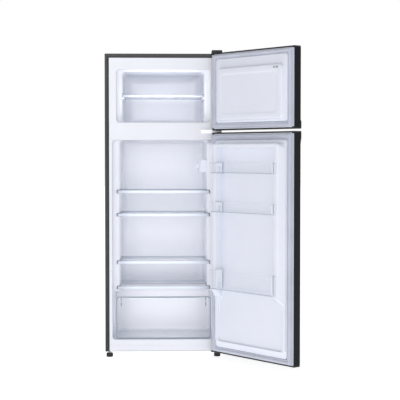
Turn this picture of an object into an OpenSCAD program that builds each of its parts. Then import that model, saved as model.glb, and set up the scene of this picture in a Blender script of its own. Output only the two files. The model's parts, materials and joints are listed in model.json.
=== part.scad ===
/* [Cabinet] */
// Width of the cabinet over its side sheets
body_w = 550; // [540:1:560]
// Height of the cabinet from its underside to its top sheet
body_h = 1405; // [1400:1:1420]
// Depth of the cabinet from its front flange to its back sheet
body_d = 475; // [465:1:485]
// Distance from the front flange forward of the origin
front_reach = 250; // [245:1:255]
// Thickness of the painted steel sheet
sheet = 1; // [0.8:0.1:1.2]
// Width of the dark front flange round the opening
flange_w = 20; // [16:1:20]
// Thickness of the plastic liner's wall
liner_t = 2.5; // [2:0.5:3]
// Thickness of the liner's front flange and of the front sill
front_t = 4; // [3:0.5:4]
// Height of the front sill
sill_h = 28; // [24:1:30]
// Height of the underside above the floor
floor_gap = 28; // [26:1:30]

/* [Freezer compartment] */
// Half width of the shallow step behind the freezer door
freezer_step_half = 221; // [219:1:223]
// Height of the bottom of that step
freezer_step_z0 = 1083; // [1082:1:1084]
// Height of the top of that step
freezer_step_z1 = 1333; // [1333:1:1340]
// Half width of the freezer's cavity
freezer_half = 195; // [193:1:200]
// Height of the freezer's floor
freezer_z0 = 1085; // [1085:1:1087]
// Height of the freezer's ceiling
freezer_z1 = 1322; // [1322:1:1330]
// Radius of the freezer's upright back corners
freezer_corner = 57; // [40:1:60]
// Height of the underside of the freezer's shelf
freezer_shelf_z = 1203; // [1190:1:1215]

/* [Fridge compartment] */
// Half width of the fridge's opening
fridge_half = 241; // [240:1:243]
// Height of the fridge's floor
fridge_z0 = 57; // [56:1:58]
// Height of the fridge's ceiling
fridge_z1 = 1000; // [1000:1:1001]
// Half width between the side columns that carry the shelves
column_half = 207; // [205:1:209]
// Radius of the fridge's upright back corners
fridge_corner = 27; // [20:1:30]
// Heights of the undersides of the glass shelves, bottom first
shelf_z = [411, 638, 748]; // [405:1:820]
// Height of a glass shelf's trim
shelf_h = 13; // [12:1:14]
// Height of the underside of the crisper's cover
cover_z = 290; // [289:1:291]
// Half width of the crisper drawer
drawer_half = 226; // [222:1:227]
// Height of the top of the crisper drawer
drawer_z1 = 261; // [255:1:262]

/* [Doors] */
// Thickness of a door's metal box
door_t = 38; // [37:1:39]
// Gap between the cabinet's front and a closed door's metal
door_gap = 12; // [12:1:13]
// Angle that both doors stand open
door_open = 128; // [0:1:150]
// Height of the gap between the doors at its middle
split_z = 1039; // [1037:1:1041]
// Height of the gap between the doors
split_h = 10; // [10:1:11]
// Height of a door's plastic end cap on its inner side
cap_h = 7; // [6:1:8]
// Distance of the hinge line from the cabinet's side
pivot_in = 18; // [17:1:19]
// Distance of the hinge line in front of the cabinet
pivot_out = 34; // [33:1:35]
// Height of the ribs on the fridge door's liner
dyke_h = 50; // [46:1:50]
// Heights of the undersides of the door bins, bottom first
bin_z = [310, 666, 845]; // [306:1:900]
// Heights of the door bins
bin_h = [92, 48, 51]; // [40:1:92]

/* [Hidden] */

$fn = 48;
eps = 1;
half = body_w / 2;
front = -front_reach;
back = front + body_d;

// Underside and compressor bay
rail_x = 206;
rail_t = 3;
base_t = 1.5;
bay_y = 95;
bay_z = 258;

// Depths of the compartments
freezer_step_y = front + 35;
freezer_back = 150;
column_y = front + 60;
fridge_back = 170;
hump_y = 60;
crisper_half = 232;
crisper_top = 280;
hump_z = 286;
drain_y = 140;
drain_r = 4.5;

// Foam blocks
foam_y = front + front_t;
foam_gap = 0.1;

// Shelves
shelf_half = 218;
shelf_front = column_y - 6;
shelf_back = 90;
glass_t = 4;
groove_half = 220;
groove_back = 95;
rim = 12;

// Doors, closed
door_in = front - door_gap;
door_out = door_in - door_t;
pivot = [half - pivot_in, front - pivot_out];
fridge_door_z = [2, split_z - split_h / 2];
freezer_door_z = [split_z + split_h / 2, body_h - 1];
skin_t = 0.8;
return_w = 15;
gasket_half = 259;
gasket_in = 239.5;
gasket_lap = 273.5;
gasket_t = 11.5;
pin_r = 4;
pin_bore_r = 4.06;
pin_l = 14;
boss_r = 10;
boss_h = 17;
bulge = 5;

// Reliefs of the door liners
step_half = 238;
step_h = 8;
plateau_half = 217;
plateau_h = 22;
plateau_z = [1088, 1329];
recess_h = 2;
frame_half = 236;
frame_h = 16;
frame_z = [59, 996];
dyke_in = 195;
dyke_crest = 220;
dyke_z = [268, 982];
panel_h = 8;
panel_z1 = 964;
pocket_half = 216;
pocket_z = [64, 268];
pocket_h = 6;

// Door bins
bin_half = 193;
bin_back = 10;
bin_front = 70;
bin_wide = 216;
bin_step = 52;
bin_t = 2.5;
bin_end_t = 7;
lug_d = [25, 35];
lug_z = [10, 30];
lug_in = 190;

// Feet and rollers
foot_x = half - 19.5;
foot_y = front + 25;
foot_r = 15.5;
stud_r = 5;
stud_bore_r = 5.08;
roller_x = 241.5;
roller_y = 190;
roller_r = 12;
roller_w = 16;
axle_r = 3;
axle_bore_r = 3.06;

// Hinge plates and screws
plate_t = 3;
screw_r = 2.5;
screw_hole_r = 2.7;
screw_l = 14;
head_r = 4.5;
head_h = 2.5;
top_screws = [[238, -222], [262, -222]];
middle_screws = [[190, split_z + 2], [226, split_z + 7]];
bottom_screws = [[231, -212], [231, -236]];

// Thermostat housing
housing_z = [847, 905];
housing_y = [-145, -5];
housing_face = 172;
knob_y = -112;
knob_z = 876;
lens_y = [-80, -28];

// Back of the cabinet
coil_y = back + 13;
coil_r = 2.5;
coil_half = 200;
coil_pitch = 75;
coil_z = 330;
coil_runs = 13;
wire_r = 0.8;
wire_n = 25;
compressor_x = -90;
compressor_y = 160;
compressor_r = 56;
gland_x = 150;
gland_z = 20;

function arc(x, y, r, a0, a1, n = 8) =
    [for (i = [0:n]) let (a = a0 + (a1 - a0) * i / n) [x + r * cos(a), y + r * sin(a)]];

function round_rect(x0, y0, x1, y1, r) = concat(
    arc(x1 - r, y1 - r, r, 0, 90), arc(x0 + r, y1 - r, r, 90, 180),
    arc(x0 + r, y0 + r, r, 180, 270), arc(x1 - r, y0 + r, r, 270, 360));

// Plan outline open to the front with two round back corners
function tub_outline(w, y0, y1, r) = concat([[-w, y0], [w, y0]],
    arc(w - r, y1 - r, r, 0, 90), arc(-w + r, y1 - r, r, 90, 180));

module block(x0, x1, y0, y1, z0, z1) {
    translate([x0, y0, z0]) cube([x1 - x0, y1 - y0, z1 - z0]);
}

module wide(w, y0, y1, z0, z1) {
    block(-w, w, y0, y1, z0, z1);
}

module mirrored() {
    children();
    mirror([1, 0, 0]) children();
}

// Outline in X and Z, extruded from y0 to y1
module upright(points, y0, y1) {
    translate([0, y1, 0]) rotate([90, 0, 0]) linear_extrude(y1 - y0) polygon(points);
}

// Outline in Y and Z, extruded from x0 to x1
module sideways(points, x0, x1) {
    translate([x0, 0, 0]) rotate([90, 0, 90]) linear_extrude(x1 - x0) polygon(points);
}

// Cylinder along X
module rod_x(r, x0, x1, y, z) {
    translate([x0, y, z]) rotate([0, 90, 0]) cylinder(r = r, h = x1 - x0);
}

// Cylinder along Y
module rod_y(r, x, y0, y1, z) {
    translate([x, y1, z]) rotate([90, 0, 0]) cylinder(r = r, h = y1 - y0);
}

// Cylinder along Z
module rod_z(r, x, y, z0, z1) {
    translate([x, y, z0]) cylinder(r = r, h = z1 - z0);
}

// Children drawn closed are turned to the doors' open angle
module opened() {
    translate([pivot.x, pivot.y, 0]) rotate([0, 0, door_open])
        translate([-pivot.x, -pivot.y, 0]) children();
}

// The holes of all hinge screws
module screw_holes() {
    for (p = top_screws) rod_z(screw_hole_r, p.x, p.y, body_h - screw_l, body_h + plate_t + eps);
    for (p = middle_screws) rod_y(screw_hole_r, p.x, front - plate_t - eps, front + screw_l, p.y);
    for (p = bottom_screws) rod_z(screw_hole_r, p.x, p.y, -plate_t - eps, screw_l);
}

module freezer_cavity(g, mouth) {
    upright(round_rect(-freezer_step_half - g, freezer_step_z0 - g, freezer_step_half + g,
        freezer_step_z1 + g, 14 + g), front - mouth, freezer_step_y + g);
    translate([0, 0, freezer_z0 - g]) linear_extrude(freezer_z1 - freezer_z0 + 2 * g)
        polygon(tub_outline(freezer_half + g, freezer_step_y - 15, freezer_back + g,
            freezer_corner + g));
}

module fridge_cavity(g, mouth) {
    upright(round_rect(-fridge_half - g, fridge_z0 - g, fridge_half + g, fridge_z1 + g, 12 + g),
        front - mouth, column_y + g);
    translate([0, 0, hump_z - g]) linear_extrude(fridge_z1 - hump_z + 2 * g)
        polygon(tub_outline(column_half + g, column_y - 20, fridge_back + g, fridge_corner + g));
    wide(crisper_half + g, column_y - 20, hump_y + g, fridge_z0 - g, crisper_top + g);
    wide(column_half + g, column_y - 20, hump_y + g, crisper_top - 10, hump_z + 10);
    for (z = concat(shelf_z, [cover_z]))
        wide(groove_half + g, column_y - 20, groove_back + g, z - 1 - g, z + shelf_h + 2 + g);
}

module outer_shell() {
    color("#26272a") difference() {
        wide(half, front, back, 0, body_h);
        wide(half - sheet, front + sheet, back + eps, -eps, body_h - sheet);
        wide(half - flange_w, front - eps, front + 2 * sheet, -eps, body_h - flange_w);
        screw_holes();
    }
}

module back_panel() {
    color("#9da0a3") wide(half - sheet, back - sheet, back, bay_z, body_h - sheet);
}

module base_plate() {
    color("#b9bcc0") wide(rail_x - eps, front + front_t, bay_y, 0, base_t);
}

module side_rails() {
    color("#b9bcc0") difference() {
        mirrored() block(rail_x, half - sheet, front + front_t, back, 0, rail_t);
        mirrored() rod_z(stud_bore_r, foot_x, foot_y, -eps, rail_t + eps);
        screw_holes();
    }
}

module front_sill() {
    color("#e9edf1") wide(half - flange_w, front, front + front_t, rail_t, sill_h);
}

// One block of cabinet foam, kept a hair clear of its neighbours
module foam_block(x0, x1, y0, y1, z0, z1) {
    block(x0 + foam_gap, x1 - foam_gap, y0 + foam_gap, y1 - foam_gap, z0 + foam_gap, z1 - foam_gap);
}

// Filler behind a round back corner of radius r whose cavity reaches w and y
module corner_foam(w, y, r, z0, z1) {
    difference() {
        foam_block(w - r, w, y - r, y, z0, z1);
        rod_z(r + 3 * foam_gap, w - r, y - r, z0 - eps, z1 + eps);
    }
}

// Foam blocks right of the centre line, mirrored to the left
module side_foam() {
    g = liner_t;
    wall = half - sheet;
    groove = groove_half + g;
    column = column_half + g;
    floors = [for (z = concat([cover_z], shelf_z)) z + shelf_h + 2 + g];
    ceilings = concat([for (z = shelf_z) z - 1 - g], [fridge_z1 + g]);
    foam_block(fridge_half + g, wall, foam_y, column_y + g, fridge_z0 - g, fridge_z1 + g);
    foam_block(groove, wall, column_y + g, fridge_back + g, hump_z - g, fridge_z1 + g);
    foam_block(crisper_half + g, wall, column_y + g, hump_y + g, fridge_z0 - g, hump_z - g);
    foam_block(column, groove, column_y + g, hump_y + g, crisper_top + g, cover_z - 1 - g);
    for (i = [0:len(floors) - 1])
        foam_block(column, groove, column_y + g, fridge_back + g, floors[i], ceilings[i]);
    foam_block(freezer_step_half + g, wall, foam_y, freezer_step_y + g, freezer_step_z0 - g,
        freezer_step_z1 + g);
    foam_block(freezer_half + g, wall, freezer_step_y + g, back - sheet, freezer_step_z0 - g,
        freezer_z1 + g);
    corner_foam(column, fridge_back + g, fridge_corner + g, hump_z, fridge_z1 + g);
    corner_foam(freezer_half + g, freezer_back + g, freezer_corner + g, freezer_z0 - g,
        freezer_z1 + g);
}

// Foam blocks that run across the whole width
module cross_foam() {
    g = liner_t;
    wall = half - sheet;
    foam_block(-wall, wall, foam_y, hump_y + g, rail_t, fridge_z0 - g);
    foam_block(-wall, wall, hump_y + g, bay_y, rail_t, hump_z - g);
    foam_block(-wall, wall, bay_y, back - sheet, bay_z, hump_z - g);
    foam_block(-wall, wall, fridge_back + g, back - sheet, hump_z - g, fridge_z1 + g);
    foam_block(-wall, wall, foam_y, back - sheet, fridge_z1 + g, freezer_step_z0 - g);
    foam_block(-freezer_half - g, freezer_half + g, freezer_back + g, back - sheet,
        freezer_step_z0 - g, freezer_z1 + g);
    foam_block(-wall, wall, freezer_step_y + g, back - sheet, freezer_z1 + g, body_h - sheet);
    foam_block(-wall, wall, foam_y, freezer_step_y + g, freezer_step_z1 + g, body_h - sheet);
}

module cabinet_foam() {
    color("#e8dcb0") difference() {
        union() {
            mirrored() side_foam();
            cross_foam();
        }
        screw_holes();
        mirrored() rod_z(stud_r + 2, foot_x, foot_y, 0, 26);
        rod_z(drain_r + 1.6, 0, drain_y, bay_z - eps, hump_z);
    }
}

module cabinet_liner() {
    color("#eef2f6") {
        difference() {
            union() {
                wide(half - flange_w, front, front + front_t, sill_h, body_h - flange_w);
                freezer_cavity(liner_t, 0);
                fridge_cavity(liner_t, 0);
            }
            freezer_cavity(0, eps);
            fridge_cavity(0, eps);
            wide(half, front - eps, front + front_t, fridge_z1 + liner_t, freezer_step_z0 - liner_t);
            rod_z(drain_r, 0, drain_y, hump_z - 2 * liner_t, hump_z + eps);
        }
        mirrored() block(freezer_half - 9, freezer_half, freezer_step_y + 20, 80,
            freezer_shelf_z - 8, freezer_shelf_z - 1);
    }
}

module mullion_bar() {
    color("#eef2f6") difference() {
        wide(half - flange_w, front, front + front_t, fridge_z1 + liner_t, freezer_step_z0 - liner_t);
        screw_holes();
    }
}

module compressor_tray() {
    color("#3a3b3d") difference() {
        union() {
            wide(rail_x, bay_y + 1, back - 1, 0, 2);
            wide(rail_x, back - 3, back - 1, 2 + foam_gap, 40);
        }
        rod_y(8, gland_x, back - 4, back, gland_z);
    }
}

module compressor() {
    color("#1d1e20") translate([compressor_x, compressor_y, 0]) {
        rotate_extrude() polygon(concat([[0, 17], [compressor_r - 14, 17]],
            arc(compressor_r - 12, 31, 12, -70, 0), arc(compressor_r - 30, 145, 30, 0, 80),
            [[0, 176]]));
        block(-78, 78, -45, 45, 14, 17.5);
    }
}

module compressor_grommets() {
    color("#2b2b2b") for (x = [-66, 66], y = [-34, 34])
        rod_z(9, compressor_x + x, compressor_y + y, 2, 14);
}

module start_relay_box() {
    color("#151515") block(compressor_x + compressor_r + 0.5, compressor_x + compressor_r + 38,
        compressor_y - 28, compressor_y + 28, 50, 112);
}

module condenser_coil() {
    color("#1b1b1b") {
        for (i = [0:coil_runs - 1])
            rod_x(coil_r, -coil_half, coil_half, coil_y, coil_z + i * coil_pitch);
        for (i = [0:coil_runs - 2]) {
            side = i % 2 == 0 ? 1 : -1;
            translate([side * coil_half, coil_y, coil_z + (i + 0.5) * coil_pitch])
                rotate([90, side * 90 - 90, 0]) rotate([0, 0, -90])
                    rotate_extrude(angle = 180) translate([coil_pitch / 2, 0]) circle(coil_r);
        }
    }
}

module condenser_wires() {
    top = coil_z + (coil_runs - 1) * coil_pitch;
    color("#1b1b1b") {
        for (i = [0:wire_n - 1])
            rod_z(wire_r, (i / (wire_n - 1) - 0.5) * 2 * (coil_half - 4), coil_y + coil_r + wire_r + 0.1,
                coil_z - 20, top + 20);
        for (x = [-1, 1], z = [coil_z + 1.5 * coil_pitch, top - 1.5 * coil_pitch])
            block(x * 170 - 6, x * 170 + 6, back, coil_y + coil_r + 0.1, z - 8, z + 8);
    }
}

// Quarter bend of a tube, from the first axis of its plane to the second
module bend(r) {
    rotate_extrude(angle = 90) translate([r, 0]) circle(coil_r);
}

// Tubes from the compressor to the coil's lower end and from its upper end to the drier
module condenser_lines() {
    r = 20;
    x = -coil_half - r;
    z = 150;
    drop = 52;
    top = coil_z + (coil_runs - 1) * coil_pitch - drop;
    color("#b5713a") {
        translate([x + r, coil_y, coil_z - r]) rotate([90, 0, 0]) rotate([0, 0, 90]) bend(r);
        rod_z(coil_r, x, coil_y, z, coil_z - r);
        translate([x, coil_y - r, z]) rotate([90, 0, 90]) rotate([0, 0, -90]) bend(r);
        rod_y(coil_r, x, compressor_y + r, coil_y - r, z - r);
        translate([x + r, compressor_y + r, z - r]) rotate([0, 0, 180]) bend(r);
        rod_x(coil_r, x + r, compressor_x - compressor_r - 0.5, compressor_y, z - r);
        translate([coil_half, coil_y, top]) rotate([90, 0, 0]) bend(drop);
        rod_z(coil_r, coil_half + drop, coil_y, z, top);
        translate([coil_half + drop, coil_y - r, z]) rotate([90, 0, 90]) rotate([0, 0, -90]) bend(r);
        rod_y(8, coil_half + drop, compressor_y - 25, coil_y - r, z - r);
    }
}

module drip_tray() {
    color("#2c2d2f") difference() {
        block(-150, 40, 105, 215, 176, 204);
        block(-148, 38, 107, 213, 178, 205);
    }
}

module drain_tube() {
    color("#d9dcdf") difference() {
        rod_z(drain_r + 1.5, 0, drain_y, 196, hump_z - liner_t);
        rod_z(drain_r, 0, drain_y, 195, hump_z);
    }
}

module cord_gland() {
    color("#111111") difference() {
        union() {
            rod_y(7.8, gland_x, back - 3, back - 1, gland_z);
            rod_y(11, gland_x, back - 1, back + 3, gland_z);
            rod_y(11, gland_x, back - 7, back - 3, gland_z);
        }
        rod_y(4, gland_x, back - 8, back + 4, gland_z);
    }
}

// Flat arm from a foot plate to a round eye over the hinge line
module hinge_arm(x0, y1, z) {
    block(x0, pivot.x + 12, pivot.y + 20, y1, z, z + plate_t);
    block(pivot.x - 12, pivot.x + 12, pivot.y, pivot.y + 21, z, z + plate_t);
    rod_z(13, pivot.x, pivot.y, z, z + plate_t);
}

module top_hinge() {
    color("#8f9296") difference() {
        union() {
            hinge_arm(231, -205, body_h);
            rod_z(pin_r, pivot.x, pivot.y, body_h - pin_l, body_h + eps);
        }
        screw_holes();
    }
}

module top_hinge_cover() {
    color("#17181a") difference() {
        block(228, half, pivot.y - 15, -198, body_h, body_h + 13);
        block(230, half - 2, pivot.y - 13.5, -200, body_h - eps, body_h + 11);
    }
}

module middle_hinge() {
    z = split_z - plate_t / 2;
    color("#d5d8dc") difference() {
        union() {
            block(178, pivot.x + 12, front - plate_t, front, split_z - 8, split_z + 11);
            hinge_arm(205, front - plate_t + eps, z);
            rod_z(pin_r, pivot.x, pivot.y, z - pin_l, z + plate_t + pin_l);
        }
        screw_holes();
    }
}

module hinge_bushings() {
    color("#111214") for (z = [split_z - split_h / 2 + 0.7, split_z + plate_t / 2]) difference() {
        rod_z(7.5, pivot.x, pivot.y, z, z + split_h / 2 - plate_t / 2 - 0.7);
        rod_z(pin_bore_r, pivot.x, pivot.y, z - eps, z + split_h);
    }
}

module bottom_hinge() {
    color("#17181a") difference() {
        union() {
            hinge_arm(225, -200, -plate_t);
            rod_z(pin_r, pivot.x, pivot.y, -eps, fridge_door_z[0] + pin_l);
        }
        rod_z(stud_bore_r, foot_x, foot_y, -plate_t - eps, eps);
        screw_holes();
    }
}

module hinge_screws() {
    color("#c9ccd0") {
        for (p = top_screws) {
            rod_z(screw_r, p.x, p.y, body_h - screw_l + eps, body_h + plate_t + eps);
            rod_z(head_r, p.x, p.y, body_h + plate_t, body_h + plate_t + head_h);
        }
        for (p = middle_screws) {
            rod_y(screw_r, p.x, front - plate_t - eps, front + screw_l - eps, p.y);
            rod_y(head_r, p.x, front - plate_t - head_h, front - plate_t, p.y);
        }
        for (p = bottom_screws) {
            rod_z(screw_r, p.x, p.y, -plate_t - eps, screw_l - eps);
            rod_z(head_r, p.x, p.y, -plate_t - head_h, -plate_t);
        }
    }
}

// Plan of the thermostat housing, drawn in by g
module housing_plan(g) {
    polygon([[column_half, housing_y[0] + g], [housing_face + 10 + g / 2, housing_y[0] + g],
        [housing_face + g, housing_y[0] + 16], [housing_face + g, housing_y[1] - 20],
        [column_half, housing_y[1] - g]]);
}

module thermostat_housing() {
    color("#f4f6f8") difference() {
        translate([0, 0, housing_z[0]]) linear_extrude(housing_z[1] - housing_z[0]) housing_plan(0);
        translate([0, 0, housing_z[0] + 2]) linear_extrude(housing_z[1] - housing_z[0] - 4)
            housing_plan(2);
        rod_x(axle_bore_r, housing_face - eps, housing_face + 3, knob_y, knob_z);
        block(housing_face - eps, housing_face + 3, lens_y[0], lens_y[1], housing_z[0] + 8,
            housing_z[1] - 8);
    }
}

module lamp_cover() {
    color("#ffffff") block(housing_face - 1, housing_face + 2, lens_y[0], lens_y[1],
        housing_z[0] + 8, housing_z[1] - 8);
}

module led_lamp() {
    color("#fff6d8") {
        rod_z(9, housing_face + 18, (lens_y[0] + lens_y[1]) / 2, housing_z[0] + 12, housing_z[1] - 12);
        block(housing_face + 24, column_half, (lens_y[0] + lens_y[1]) / 2 - 8,
            (lens_y[0] + lens_y[1]) / 2 + 8, housing_z[0] + 16, housing_z[1] - 16);
    }
}

module thermostat_knob() {
    color("#e3e7eb") {
        rod_x(axle_r, housing_face - eps, housing_face + 12, knob_y, knob_z);
        rod_x(15, housing_face - 9, housing_face - 0.5, knob_y, knob_z);
        block(housing_face - 12, housing_face - 8, knob_y - 2.5, knob_y + 2.5, knob_z - 13,
            knob_z + 13);
    }
}

module door_switch_body() {
    color("#f4f6f8") difference() {
        block(202, 227, column_y - 44, column_y - 14, fridge_z1 - 14, fridge_z1);
        block(210, 219, column_y - 45, column_y - 20, fridge_z1 - 11.5, fridge_z1 - 2.5);
    }
}

module door_switch_plunger() {
    color("#dfe3e7") block(210.3, 218.7, column_y - 53, column_y - 26, fridge_z1 - 11.2,
        fridge_z1 - 2.8);
}

module foot(side) {
    color("#141517") {
        rod_z(foot_r, side * foot_x, foot_y, -floor_gap, -9);
        rod_z(stud_r, side * foot_x, foot_y, -10, 22);
    }
}

module roller_brackets() {
    ear = roller_w / 2 + 1;
    color("#b9bcc0") mirrored() {
        for (x = [roller_x - ear - 2, roller_x + ear])
            block(x, x + 2, roller_y - 10, roller_y + 10, -22, 0);
        block(roller_x - ear - 2, roller_x + ear + 2, roller_y - 10, roller_y + 10, -2, 0);
        rod_x(axle_r, roller_x - ear - 4, roller_x + ear + 4, roller_y, roller_r - floor_gap);
    }
}

module roller(side) {
    color("#2a2b2d") difference() {
        rod_x(roller_r, side * roller_x - roller_w / 2, side * roller_x + roller_w / 2, roller_y,
            roller_r - floor_gap);
        rod_x(axle_bore_r, side * roller_x - roller_w, side * roller_x + roller_w, roller_y,
            roller_r - floor_gap);
    }
}

module freezer_shelf() {
    w = freezer_half - 2;
    y0 = freezer_step_y + 25;
    color("#dfe6ec") {
        wide(w, y0, 75, freezer_shelf_z, freezer_shelf_z + 3);
        wide(w, y0 - 4, y0 + 0.5, freezer_shelf_z, freezer_shelf_z + 9);
        mirrored() block(w - 3, w, y0, 75, freezer_shelf_z, freezer_shelf_z + 22);
    }
}

// Glass pane and its trim, drawn for a shelf whose underside is at z
module shelf_glass(z) {
    color("#cfe3e8", 0.5) wide(shelf_half - 6, shelf_front + 10, shelf_back - 6, z + shelf_h - 6,
        z + shelf_h - 6 + glass_t);
}

module shelf_trim(z) {
    color("#dce5ec") difference() {
        wide(shelf_half, shelf_front, shelf_back, z, z + shelf_h);
        wide(shelf_half - 6, shelf_front + 10, shelf_back - 6, z + shelf_h - 6, z + shelf_h - 6 + glass_t);
        wide(shelf_half - rim, shelf_front + rim, shelf_back - rim, z - eps, z + shelf_h + eps);
    }
}

module drawer_outline(g) {
    polygon(round_rect(-drawer_half + g, fridge_z0 + 1 + g, drawer_half - g, drawer_z1 + 40, 9 - g / 2));
}

module crisper_drawer() {
    y0 = column_y - 45;
    y1 = hump_y - 15;
    color("#bcd9ea", 0.6) {
        difference() {
            translate([0, y1, 0]) rotate([90, 0, 0]) linear_extrude(y1 - y0) drawer_outline(0);
            translate([0, y1 - 3, 0]) rotate([90, 0, 0]) linear_extrude(y1 - y0 - 6) drawer_outline(3);
            wide(drawer_half + eps, y0 - eps, y1 + eps, drawer_z1, drawer_z1 + 50);
        }
        wide(170, y0 - 5, y0 + eps, drawer_z1 - 14, drawer_z1 - 9);
    }
}

// The metal wrap of a closed door between two heights
module door_skin(z0, z1) {
    difference() {
        wide(half, door_out, door_in, z0, z1);
        wide(half - skin_t, door_out + skin_t, door_in - skin_t, z0 - eps, z1 + eps);
        wide(half - return_w, door_in - 2, door_in + eps, z0 - eps, z1 + eps);
    }
}

// A boss with a blind bore for a hinge pin; dir is 1 when it rises from z
module pin_boss(z, dir) {
    rod_z(boss_r, pivot.x, pivot.y, min(z, z + dir * boss_h), max(z, z + dir * boss_h));
}

module pin_bore(z, dir) {
    rod_z(pin_bore_r, pivot.x, pivot.y, min(z - dir, z + dir * (pin_l + 1)),
        max(z - dir, z + dir * (pin_l + 1)));
}

// A door's end cap: a plate, a pin boss and a proud lip whose outline is in Y and Z
module end_cap(z, dir, lip) {
    difference() {
        union() {
            wide(half, door_out, door_in, min(z, z + dir * cap_h), max(z, z + dir * cap_h));
            pin_boss(z, dir);
            if (len(lip) > 0) sideways(lip, -half, half);
        }
        pin_bore(z, dir);
    }
}

// Foam between the skin, the caps and a liner whose hollow back is given as children
module door_foam(z0, z1) {
    difference() {
        union() {
            wide(half - skin_t, door_out + skin_t, door_in - skin_t, z0 + cap_h, z1 - cap_h);
            children();
        }
        difference() {
            wide(half - return_w, door_in - liner_t, door_in + eps, z0, z1);
            children();
        }
        pin_boss(z0, 1);
        pin_boss(z1, -1);
    }
}

// Relief of the freezer door's liner, drawn in by g
module freezer_relief(g) {
    y0 = door_in - liner_t - eps;
    upright(round_rect(-step_half + g, plateau_z[0] - 10 + g, step_half - g,
        plateau_z[1] + 44 - g, 14), y0, door_in + step_h - g);
    difference() {
        upright(round_rect(-plateau_half + g, plateau_z[0] + g, plateau_half - g,
            plateau_z[1] - g, 22), y0, door_in + plateau_h - g);
        upright(round_rect(-plateau_half + 30 - g, plateau_z[0] + 30 - g, plateau_half - 30 + g,
            plateau_z[1] - 30 + g, 16), door_in + plateau_h - recess_h - g, door_in + 60);
    }
}

// Relief of the fridge door's liner, drawn in by g
module fridge_relief(g) {
    y0 = door_in - liner_t - eps;
    top = door_in + dyke_h - g;
    upright(round_rect(-step_half + g, frame_z[0] - 25 + g, step_half - g,
        frame_z[1] + 2 - g, 14), y0, door_in + 9 - g);
    difference() {
        union() {
            upright(round_rect(-frame_half + g, frame_z[0] + g, frame_half - g, frame_z[1] - g, 14),
                y0, door_in + frame_h - g);
            intersection() {
                upright(round_rect(-frame_half + g, dyke_z[0] + g, frame_half - g, dyke_z[1] - g,
                    30), y0, top);
                linear_extrude(body_h) polygon([[-frame_half + g, y0],
                    [-frame_half + g, door_in + frame_h], [-dyke_crest + g, top],
                    [dyke_crest - g, top], [frame_half - g, door_in + frame_h],
                    [frame_half - g, y0]]);
                sideways([[y0, dyke_z[0]], [door_in + frame_h - g, dyke_z[0] + g],
                    [top, dyke_z[0] + 36 + g], [top, dyke_z[1]], [y0, dyke_z[1]]], -half, half);
            }
        }
        upright(round_rect(-dyke_in - g, dyke_z[0] - 20, dyke_in + g, panel_z1 + g, 16),
            door_in + panel_h - g, door_in + 80);
        upright(round_rect(-pocket_half - g, pocket_z[0] - g, pocket_half + g, pocket_z[1] + g, 12),
            door_in + pocket_h - g, door_in + 80);
    }
}

// A door liner's base plate between two heights with its relief and its hollow back
module liner_base(z0, z1) {
    wide(half - return_w, door_in - liner_t, door_in, z0 + cap_h, z1 - cap_h);
}

// A seal between two heights with its opening, and a thin lap over the folded edge of the skin
module gasket(z0, z1, in_z0, in_z1) {
    difference() {
        union() {
            wide(gasket_half, door_in, door_in + gasket_t, z0, z1);
            wide(gasket_lap, door_in, door_in + 2, z0, z1);
        }
        wide(gasket_in, door_in - eps, door_in + gasket_t + eps, in_z0, in_z1);
    }
}

module freezer_door_skin() {
    color("#26272a") opened() door_skin(freezer_door_z[0] + cap_h, freezer_door_z[1] - cap_h);
}

module freezer_door_top_cap() {
    color("#17181a") opened() end_cap(freezer_door_z[1], -1, []);
}

module freezer_door_bottom_cap() {
    z = freezer_door_z[0];
    color("#17181a") opened() end_cap(z, 1, [[door_out + eps, z], [door_out + eps, z + cap_h],
        [door_out, z + cap_h], [door_out, z + 38], [door_out - 2, z + 38],
        [door_out - bulge, z + 32], [door_out - bulge, z + 3], [door_out - 2, z]]);
}

module freezer_door_foam() {
    color("#e8dcb0") opened() door_foam(freezer_door_z[0], freezer_door_z[1])
        freezer_relief(liner_t);
}

module freezer_door_liner() {
    color("#eef2f6") opened() difference() {
        union() {
            liner_base(freezer_door_z[0], freezer_door_z[1]);
            freezer_relief(0);
        }
        freezer_relief(liner_t);
        wide(half, door_out, door_in - liner_t, 0, body_h);
    }
}

module freezer_gasket() {
    color("#b9c1c9") opened() gasket(1054, 1395, 1077, 1374);
}

module fridge_door_skin() {
    color("#26272a") opened() door_skin(fridge_door_z[0] + cap_h, fridge_door_z[1] - cap_h);
}

module fridge_door_top_cap() {
    z = fridge_door_z[1];
    color("#17181a") opened() end_cap(z, -1, [[door_out + eps, z], [door_out + eps, z - cap_h],
        [door_out, z - cap_h], [door_out, z - 60], [door_out - bulge, z - 30],
        [door_out - bulge, z - 3], [door_out - 2, z]]);
}

module fridge_door_bottom_cap() {
    color("#17181a") opened() end_cap(fridge_door_z[0], 1, []);
}

module fridge_door_foam() {
    color("#e8dcb0") opened() door_foam(fridge_door_z[0], fridge_door_z[1])
        fridge_relief(liner_t);
}

module fridge_door_liner() {
    color("#eef2f6") opened() {
        difference() {
            union() {
                liner_base(fridge_door_z[0], fridge_door_z[1]);
                fridge_relief(0);
            }
            fridge_relief(liner_t);
            wide(half, door_out, door_in - liner_t, 0, body_h);
        }
        mirrored() for (z = bin_z)
            block(lug_in, dyke_in + eps, door_in + lug_d[0], door_in + lug_d[1], z + lug_z[0],
                z + lug_z[1]);
    }
}

module fridge_gasket() {
    color("#b9c1c9") opened() gasket(10, 1024, 33, 1000);
}

// A bin's outline, drawn in by end_t at its ends between the ribs and by t elsewhere
module bin_outline(end_t, t) {
    shoulder = door_in + bin_step + t;
    right = [[bin_half - end_t, door_in + bin_back + t], [bin_half - end_t, shoulder],
        [bin_wide - t, shoulder], [bin_wide - t, door_in + bin_front - t]];
    polygon(concat(right, [for (i = [3:-1:0]) [-right[i].x, right[i].y]]));
}

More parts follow.
